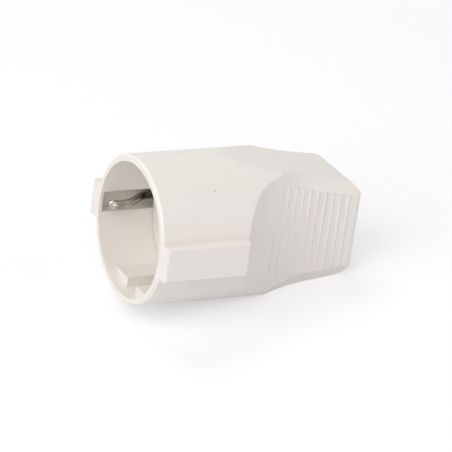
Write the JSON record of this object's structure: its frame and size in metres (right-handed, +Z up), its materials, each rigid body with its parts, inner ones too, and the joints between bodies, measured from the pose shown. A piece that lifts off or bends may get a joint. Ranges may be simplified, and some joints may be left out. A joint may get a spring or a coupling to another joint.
{
  "type": "inline socket connector",
  "caption": "White inline earthed socket for the end of an extension cord: round plug well with side earth clips, flat side bosses and a ribbed, waisted grip.",
  "frame": {"origin": "centre of the bounding box's underside, where the sloping grip facet meets the table", "axes": "+X from the mouth of the plug well towards the cord end, Y across the side bosses, +Z up; the axis of the well dips towards the rear by the slope of the facet"},
  "size_m": [0.073, 0.0502, 0.0476],
  "materials": {
    "housing_plastic": "moulded, satin to gloss",
    "carrier_plastic": "moulded, satin",
    "contact_brass": "plain",
    "clip_metal": "nickel plated",
    "screw_steel": "zinc plated"
  },
  "bodies": {
    "root": {"housing_shell": "housing_plastic", "contact_carrier": "carrier_plastic", "live_contact": "contact_brass", "live_contact_spring": "screw_steel", "live_terminal_block": "contact_brass", "live_terminal_screw": "screw_steel", "neutral_contact": "contact_brass", "neutral_contact_spring": "screw_steel", "neutral_terminal_block": "contact_brass", "neutral_terminal_screw": "screw_steel", "earth_strap": "clip_metal", "earth_clamp_washer": "screw_steel", "earth_terminal_screw": "screw_steel", "carrier_screw": "screw_steel", "carrier_nut": "screw_steel", "cord_clamp_bar": "carrier_plastic", "cord_clamp_screws": "screw_steel"}
  },
  "joints": []
}
